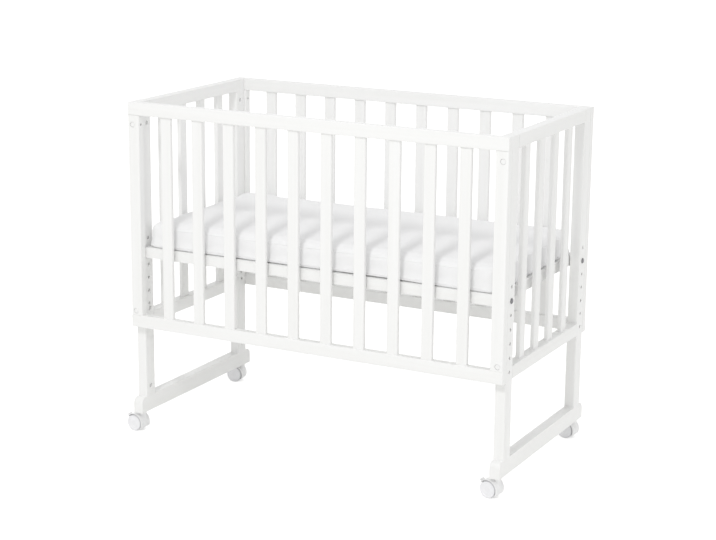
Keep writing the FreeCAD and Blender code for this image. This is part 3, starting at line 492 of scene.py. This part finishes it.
class CRIB_OT_fittings(Operator):
    """Finish the bolts, cross dowels, castor stems and axles"""

    bl_idname = "crib.fittings"
    bl_label = "Finish Fittings"

    def execute(self, context):
        for name, colour, metallic, roughness, nodes in (
                ("zinc", (0.8, 0.8, 0.81), 0.8, 0.45, nodes_with("_stem", "_axle")
                 + ["base_barrel_nuts", "foot_barrel_nuts", "foot_bolts"]),
                ("pale_zinc", (0.9, 0.9, 0.9), 0.2, 0.5, ["side_barrel_nuts"]),
                ("dark_steel", (0.2, 0.2, 0.21), 1.0, 0.4, ["base_bolts"]),
                ("white_cap", (0.93, 0.93, 0.925), 0.0, 0.4, ["side_bolts"])):
            material, tree, shader = new_material(name, roughness, (("Metallic", metallic),))
            surface = effect(tree, "brushed")
            shaded = darker(colour, SHADED_PLATING)
            tree.links.new(mix_colour(tree, surface.outputs["Tone"], shaded, colour),
                           shader.inputs["Base Color"])
            vary_roughness(tree, shader, surface.outputs["Tone"], roughness - 0.05,
                           roughness + 0.08)
            tree.links.new(surface.outputs["Normal"], shader.inputs["Normal"])
            dress(nodes, material)
        return {"FINISHED"}


def joint_named(name):
    """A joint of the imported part."""
    return next(joint for joint in frame["joints"] if joint["name"] == name)


def moulded(name, roughness, colour):
    """Moulded plastic, and its colour for the shader or for another mix."""
    material, tree, shader = new_material(name, roughness)
    surface = effect(tree, "moulded")
    tree.links.new(surface.outputs["Normal"], shader.inputs["Normal"])
    shaded = darker(colour, SHADED_PLASTIC)
    return material, tree, shader, mix_colour(tree, surface.outputs["Tone"], shaded, colour)


class CRIB_OT_castors(Operator):
    """Finish the castors' hoods, levers and wheels"""

    bl_idname = "crib.castors"
    bl_label = "Finish Castors"

    def execute(self, context):
        settings = context.scene.crib_castors
        material, tree, shader, colour = moulded("lever_plastic", HOOD_ROUGHNESS, settings.hood)
        tree.links.new(colour, shader.inputs["Base Color"])
        dress(nodes_with("_brake_lever"), material)
        for body in sorted(name for name in frame["bodies"] if name.endswith(("_left", "_right"))):
            spin = joint_named(body + "_outer_wheel_spin")
            place = {"centre": spin["pos_m"], "axis": spin["axis"]}
            material, tree, shader, colour = moulded(body + "_hood", HOOD_ROUGHNESS, settings.hood)
            # Within the hood's inner edge the hood takes the dark inside colour, which is painted shade
            # for the gap round the wheels and between them.
            zones = effect(tree, "wheel", tread_radius=HOOD_PAINTED_SHADE_RADIUS, **place)
            tree.links.new(mix_colour(tree, zones.outputs["Tread"], settings.inside, colour),
                           shader.inputs["Base Color"])
            dress([body + "_housing"], material)
            material, tree, shader, disc = moulded(body + "_wheels", 0.35, settings.disc)
            zones = effect(tree, "wheel", **place)
            rim = mix_colour(tree, zones.outputs["Tread"], disc, settings.tread)
            hub = darker(settings.disc, SHADED_PLASTIC)
            tree.links.new(mix_colour(tree, zones.outputs["Hub"], rim, hub),
                           shader.inputs["Base Color"])
            vary_roughness(tree, shader, zones.outputs["Tread"], 0.33, 0.6)
            dress([body + "_wheel_outer", body + "_wheel_inner"], material)
        return {"FINISHED"}


def cushion_mesh(low, high, settings):
    """A cushion: softly rounded above, crisper below, crowned, long borders drawn in at half length."""
    middle = (low + high) / 2
    half = (high - low) / 2
    corner, crown = settings.corner, settings.crown
    shape = bmesh.new()
    bmesh.ops.create_cube(shape, size=2.0)
    bmesh.ops.subdivide_edges(shape, edges=shape.edges[:], cuts=CUSHION_CUTS, use_grid_fill=True)
    for vertex in shape.verts:
        x, y, z = (math.copysign(abs(value) ** CROWDING, value) for value in vertex.co)
        flat = Vector((x * half.x, y * half.y, 0.0))
        core = Vector((max(-half.x + corner, min(half.x - corner, flat.x)),
                       max(-half.y + corner, min(half.y - corner, flat.y)), 0.0))
        outward = flat - core
        if outward.length > 0:
            outward *= max(abs(outward.x), abs(outward.y)) / outward.length
        edge, power = settings.bottom_edge, BOTTOM_POWER
        if z > 0:
            edge, power = settings.top_edge, TOP_POWER
        swell = (1.0 - abs(z) ** power) ** (1 / power)
        reach = max(0.0, 1.0 - (1.0 - swell) * edge / corner)
        point = core + outward * reach
        dome = (1 - x * x) * (1 - y * y) - 0.5
        point.z = half.z * z + crown * dome * max(0.0, z)
        point.y *= 1.0 - settings.waist / half.y * (1 - x * x)
        vertex.co = middle + point
    mesh = bpy.data.meshes.new("mattress_cover")
    shape.to_mesh(mesh)
    shape.free()
    return mesh


def apply_modifiers(context, item):
    """Turns a piece's modifiers into its mesh."""
    graph = context.evaluated_depsgraph_get()
    final = bpy.data.meshes.new_from_object(item.evaluated_get(graph))
    item.modifiers.clear()
    item.data = final


def swell_cover(context, cover, settings):
    """Blows the cover up with a short cloth simulation, while its foot stays on the base."""
    remesh = cover.modifiers.new("Remesh", "REMESH")
    remesh.mode = "VOXEL"
    remesh.voxel_size = settings.voxel
    apply_modifiers(context, cover)
    start = [vertex.co.copy() for vertex in cover.data.vertices]
    if settings.simulate:
        cloth = cover.modifiers.new("Cloth", "CLOTH")
        cloth.settings.quality = 5
        cloth.settings.use_pressure = True
        cloth.settings.uniform_pressure_force = settings.pressure
        cloth.settings.effector_weights.gravity = 0.0
        cloth.point_cache.frame_start = 1
        cloth.point_cache.frame_end = settings.frames
        for step in range(1, settings.frames + 1):
            context.scene.frame_set(step)
        apply_modifiers(context, cover)
        context.scene.frame_set(1)
    foot = min(origin.z for origin in start)
    for vertex, origin in zip(cover.data.vertices, start):
        moved = vertex.co - origin
        freedom = min(1.0, (origin.z - foot) / FREE_HEIGHT)
        vertex.co = origin + moved * (freedom * settings.cap / max(settings.cap, moved.length))


def soften(cover, low, high, ripple):
    """Soft unevenness of the cover, inside the mattress's own space and flat where it lies."""
    top = high + Vector((0.0, 0.0, TOP_RISE))
    for vertex in cover.data.vertices:
        point = vertex.co
        wave = noise.noise(Vector((point.x * WAVES[0], point.y * WAVES[1], point.z * WAVES[2])))
        slant = point.x * FOLDS[0] + point.y * FOLDS[1]
        fold = noise.noise(Vector((slant, point.y * FOLDS[2], FOLD_SEED)))
        lift = ripple * (wave + FOLD_SHARE * fold)
        point += vertex.normal * lift
        for axis in range(3):
            point[axis] = max(low[axis], min(top[axis], point[axis]))


def border_loop(cover, low, high, height):
    """Points round the cover's border at a height, found by aiming at it from outside."""
    tree = BVHTree.FromPolygons([vertex.co for vertex in cover.data.vertices],
                                [polygon.vertices[:] for polygon in cover.data.polygons])
    middle = (low + high) / 2
    half = (high - low) / 2
    points = []
    for index in range(SEAM_POINTS):
        angle = 2 * math.pi * index / SEAM_POINTS
        reach = max(abs(math.cos(angle)) / half.x, abs(math.sin(angle)) / half.y)
        aim = Vector((math.cos(angle) / reach, math.sin(angle) / reach, 0.0)) * AIM_FROM
        outside = Vector((middle.x, middle.y, height)) + aim
        inward = Vector((middle.x, middle.y, height)) - outside
        inward.x *= AIM_TURN
        hit = tree.ray_cast(outside, inward.normalized())[0]
        if hit:
            points.append(hit)
    return points


def add_seam(name, points, material):
    """A corded seam that lies on the cover."""
    curve = bpy.data.curves.new(name, "CURVE")
    curve.dimensions = "3D"
    curve.bevel_depth = SEAM_RADIUS
    curve.bevel_resolution = 3
    spline = curve.splines.new("NURBS")
    spline.points.add(len(points) - 1)
    for target, point in zip(spline.points, points):
        target.co = (*point, 1.0)
    spline.use_cyclic_u = True
    spline.order_u = 3
    seam = bpy.data.objects.new(name, curve)
    bpy.context.scene.collection.objects.link(seam)
    curve.materials.append(material)
    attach(seam, "mattress")


def cotton(settings):
    """Fine plain-woven cotton with a soft sheen."""
    material, tree, shader = new_material("mattress_cotton", 0.92,
                                          (("Sheen Weight", 0.25), ("Specular IOR Level", 0.25)))
    weave = effect(tree, "weave")
    soft = mix_colour(tree, weave.outputs["Shade"], darker(settings.colour, SHADED_COTTON),
                      settings.colour)
    hollow = darker(settings.colour, HOLLOW_COTTON)
    tree.links.new(mix_colour(tree, weave.outputs["Thread"], hollow, soft),
                   shader.inputs["Base Color"])
    tree.links.new(weave.outputs["Normal"], shader.inputs["Normal"])
    return material


class CRIB_OT_mattress(Operator):
    """Make the mattress with its corded seams"""

    bl_idname = "crib.mattress"
    bl_label = "Make Mattress"

    def execute(self, context):
        settings = context.scene.crib_mattress
        low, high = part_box("mattress")
        mesh = cushion_mesh(low, high, settings)
        cover = bpy.data.objects.new("mattress_cover", mesh)
        context.scene.collection.objects.link(cover)
        swell_cover(context, cover, settings)
        soften(cover, low, high, settings.ripple)
        refine = cover.modifiers.new("Subdivision", "SUBSURF")
        refine.levels = refine.render_levels = 1
        apply_modifiers(context, cover)
        for polygon in cover.data.polygons:
            polygon.use_smooth = True
        material = cotton(settings)
        cover.data.materials.append(material)
        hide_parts("mattress")
        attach(cover, "mattress")
        rise = high.z - low.z
        for name, height in SEAMS:
            add_seam(name, border_loop(cover, low, high, low.z + height * rise), material)
        return {"FINISHED"}


def add_light(name, power, place, aim, size):
    """A soft area light that looks at a point."""
    lamp = bpy.data.lights.new(name, "AREA")
    lamp.shape = "RECTANGLE"
    lamp.size, lamp.size_y = size
    lamp.energy = power
    item = bpy.data.objects.new(name, lamp)
    bpy.context.scene.collection.objects.link(item)
    item.location = place
    item.rotation_euler = (Vector(aim) - Vector(place)).to_track_quat("-Z", "Y").to_euler()


def seen_directly(tree):
    """1 for what the camera sees, also in a reflection or through glass."""
    path = add_node(tree, "ShaderNodeLightPath")
    either = math_node(tree, "MAXIMUM", path.outputs["Is Camera Ray"],
                       path.outputs["Is Glossy Ray"])
    return math_node(tree, "MAXIMUM", either, path.outputs["Is Transmission Ray"])


def lay_floor(scene, glow):
    """A plain pale floor that keeps the shadow and that the camera sees as white."""
    mesh = bpy.data.meshes.new("floor")
    corners = [(-FLOOR_REACH, -FLOOR_REACH, 0), (FLOOR_REACH, -FLOOR_REACH, 0),
               (FLOOR_REACH, FLOOR_REACH, 0), (-FLOOR_REACH, FLOOR_REACH, 0)]
    mesh.from_pydata(corners, [], [(0, 1, 2, 3)])
    floor = bpy.data.objects.new("floor", mesh)
    scene.collection.objects.link(floor)
    material, tree, shader = new_material("floor_paint", 0.9, (
        ("Base Color", FLOOR_COLOUR), ("Specular IOR Level", 0.0), ("Emission Color", WHITE)))
    tree.links.new(math_node(tree, "MULTIPLY", seen_directly(tree), glow),
                   shader.inputs["Emission Strength"])
    mesh.materials.append(material)


def hang_surround(scene, level):
    """An even white surround that lights at a level and is seen as white."""
    world = bpy.data.worlds.new("surround")
    world.use_nodes = True
    tree = world.node_tree
    surround = tree.nodes["Background"]
    surround.inputs["Color"].default_value = WHITE
    strength = add_node(tree, "ShaderNodeMapRange")
    strength.inputs["To Min"].default_value = level
    strength.inputs["To Max"].default_value = 1.0
    tree.links.new(seen_directly(tree), strength.inputs["Value"])
    tree.links.new(strength.outputs["Result"], surround.inputs["Strength"])
    scene.world = world


def place_camera(scene, settings):
    """The camera at the photograph's viewing angle."""
    lens = bpy.data.cameras.new("camera")
    lens.sensor_width = SENSOR_WIDTH
    lens.lens = SENSOR_WIDTH * settings.focal
    camera = bpy.data.objects.new("camera", lens)
    scene.collection.objects.link(camera)
    camera.location = settings.place
    turn = (Matrix.Rotation(settings.yaw, 3, "Z")
            @ Matrix.Rotation(math.pi / 2 - settings.pitch, 3, "X")
            @ Matrix.Rotation(settings.roll, 3, "Z"))
    camera.rotation_euler = turn.to_euler()
    scene.camera = camera


class CRIB_OT_stage(Operator):
    """Set the floor, lights and camera"""

    bl_idname = "crib.stage"
    bl_label = "Set Stage"

    def execute(self, context):
        settings = context.scene.crib_stage
        scene = context.scene
        lay_floor(scene, settings.floor)
        hang_surround(scene, settings.world)
        scene.view_settings.view_transform = "Standard"
        add_light("key_light", settings.key, **KEY)
        add_light("fill_light", settings.fill, **FILL)
        place_camera(scene, settings)
        return {"FINISHED"}


class CRIB_PT_looks(Panel):
    """All the crib's settings"""

    bl_idname = "CRIB_PT_looks"
    bl_label = "Crib Looks"
    bl_space_type = "VIEW_3D"
    bl_region_type = "UI"
    bl_category = "Crib"

    def draw(self, context):
        for title, key, operators in PANEL_ROWS:
            box = self.layout.box()
            box.label(text=title)
            settings = getattr(context.scene, key)
            for name in settings.__annotations__:
                box.prop(settings, name)
            for operator in operators:
                box.operator(operator)


PANEL_ROWS = (
    ("Woodwork", "crib_lacquer", ("crib.woodwork", "crib.fittings")),
    ("Mattress", "crib_mattress", ("crib.mattress",)),
    ("Castors", "crib_castors", ("crib.castors",)),
    ("Stage", "crib_stage", ("crib.stage",)),
)
SETTINGS = {
    "crib_lacquer": CribLacquer,
    "crib_mattress": CribMattress,
    "crib_castors": CribCastors,
    "crib_stage": CribStage,
}
OPERATORS = (CRIB_OT_woodwork, CRIB_OT_fittings, CRIB_OT_castors, CRIB_OT_mattress, CRIB_OT_stage)


def register():
    for key, kind in SETTINGS.items():
        bpy.utils.register_class(kind)
        setattr(bpy.types.Scene, key, PointerProperty(type=kind))
    for kind in (*OPERATORS, CRIB_PT_looks):
        bpy.utils.register_class(kind)


def unregister():
    for kind in (CRIB_PT_looks, *reversed(OPERATORS)):
        bpy.utils.unregister_class(kind)
    for key, kind in SETTINGS.items():
        delattr(bpy.types.Scene, key)
        bpy.utils.unregister_class(kind)


def main():
    """Finishes every piece."""
    register()
    bpy.ops.crib.stage()
    bpy.ops.crib.woodwork()
    bpy.ops.crib.fittings()
    bpy.ops.crib.castors()
    bpy.ops.crib.mattress()


if __name__ == "__main__":
    main()
